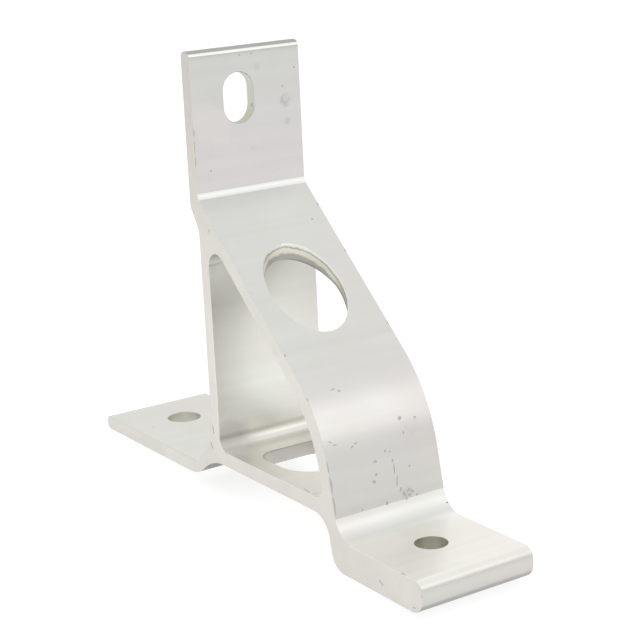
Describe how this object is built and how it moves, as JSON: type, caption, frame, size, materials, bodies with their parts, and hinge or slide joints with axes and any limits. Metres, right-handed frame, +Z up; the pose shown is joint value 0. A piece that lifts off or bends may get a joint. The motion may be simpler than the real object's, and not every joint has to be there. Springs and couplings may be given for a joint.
{
  "type": "roof bracket",
  "caption": "Bracket sawn from an aluminium extrusion: slotted upright tab, sloping leg with a large hole, triangular web, drilled thick front foot and thin back foot.",
  "frame": {"origin": "under the middle of the piece, level with the underside of the front foot", "axes": "+X from the back foot to the front foot, +Y across the sawn width, +Z up along the tab"},
  "size_m": [0.187, 0.04, 0.1477],
  "materials": {
    "mill_aluminium": "as extruded, sawn at both ends, unpainted"
  },
  "bodies": {
    "root": {"bracket_extrusion": "mill_aluminium"}
  },
  "joints": []
}
